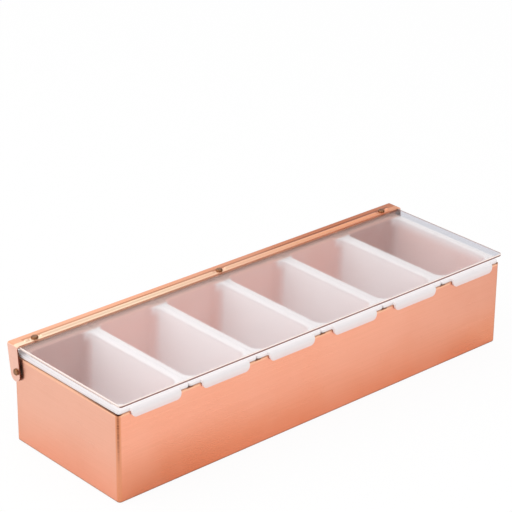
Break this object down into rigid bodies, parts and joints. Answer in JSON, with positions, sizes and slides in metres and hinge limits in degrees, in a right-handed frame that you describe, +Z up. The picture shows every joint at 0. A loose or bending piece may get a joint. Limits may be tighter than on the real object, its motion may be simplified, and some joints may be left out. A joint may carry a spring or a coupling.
{
  "type": "condiment holder",
  "caption": "Long open-topped folded copper-coloured box with a row of lift-out plastic cups under a clear flat lid on a riveted hinge bar, for serving garnishes and condiments.",
  "frame": {"origin": "middle of the casing's underside, on the surface it stands on", "axes": "+X along the row of cups, -Y to the front where the finger tabs are, +Z up"},
  "size_m": [0.4934, 0.1606, 0.102],
  "materials": {
    "copper_sheet": "copper-plated sheet steel, fine brushed satin",
    "cup_plastic": "moulded white plastic, satin, slightly see-through",
    "clear_sheet": "clear flat plastic sheet, polished",
    "bronze_rivet": "dark bronze, satin",
    "plain_washer": "plain steel",
    "spacer_plastic": "dark moulded plastic"
  },
  "bodies": {
    "casing_body": {"casing": "copper_sheet", "pivot_rivet_left": "bronze_rivet", "pivot_spacer_left": "spacer_plastic", "pivot_backing_left": "plain_washer", "pivot_rivet_right": "bronze_rivet", "pivot_spacer_right": "spacer_plastic", "pivot_backing_right": "plain_washer"},
    "lid": {"lid_panel": "clear_sheet", "hinge_bar": "copper_sheet", "lid_rivet_left": "bronze_rivet", "lid_washer_left": "plain_washer", "lid_rivet_middle": "bronze_rivet", "lid_washer_middle": "plain_washer", "lid_rivet_right": "bronze_rivet", "lid_washer_right": "plain_washer"},
    "insert_1": {"insert_1": "cup_plastic"},
    "insert_2": {"insert_2": "cup_plastic"},
    "insert_3": {"insert_3": "cup_plastic"},
    "insert_4": {"insert_4": "cup_plastic"},
    "insert_5": {"insert_5": "cup_plastic"},
    "insert_6": {"insert_6": "cup_plastic"}
  },
  "joints": [
    {"name": "lid_hinge", "type": "hinge", "parent": "casing_body", "child": "lid", "pos_m": [0, 0.0688, 0.074], "axis": [-1, 0, 0], "range_deg": [0, 132]},
    {"name": "insert_1_lift", "type": "slide", "parent": "casing_body", "child": "insert_1", "axis": [0, 0, 1], "range_m": [0, 0.002]},
    {"name": "insert_2_lift", "type": "slide", "parent": "casing_body", "child": "insert_2", "axis": [0, 0, 1], "range_m": [0, 0.002]},
    {"name": "insert_3_lift", "type": "slide", "parent": "casing_body", "child": "insert_3", "axis": [0, 0, 1], "range_m": [0, 0.002]},
    {"name": "insert_4_lift", "type": "slide", "parent": "casing_body", "child": "insert_4", "axis": [0, 0, 1], "range_m": [0, 0.002]},
    {"name": "insert_5_lift", "type": "slide", "parent": "casing_body", "child": "insert_5", "axis": [0, 0, 1], "range_m": [0, 0.002]},
    {"name": "insert_6_lift", "type": "slide", "parent": "casing_body", "child": "insert_6", "axis": [0, 0, 1], "range_m": [0, 0.002]}
  ]
}
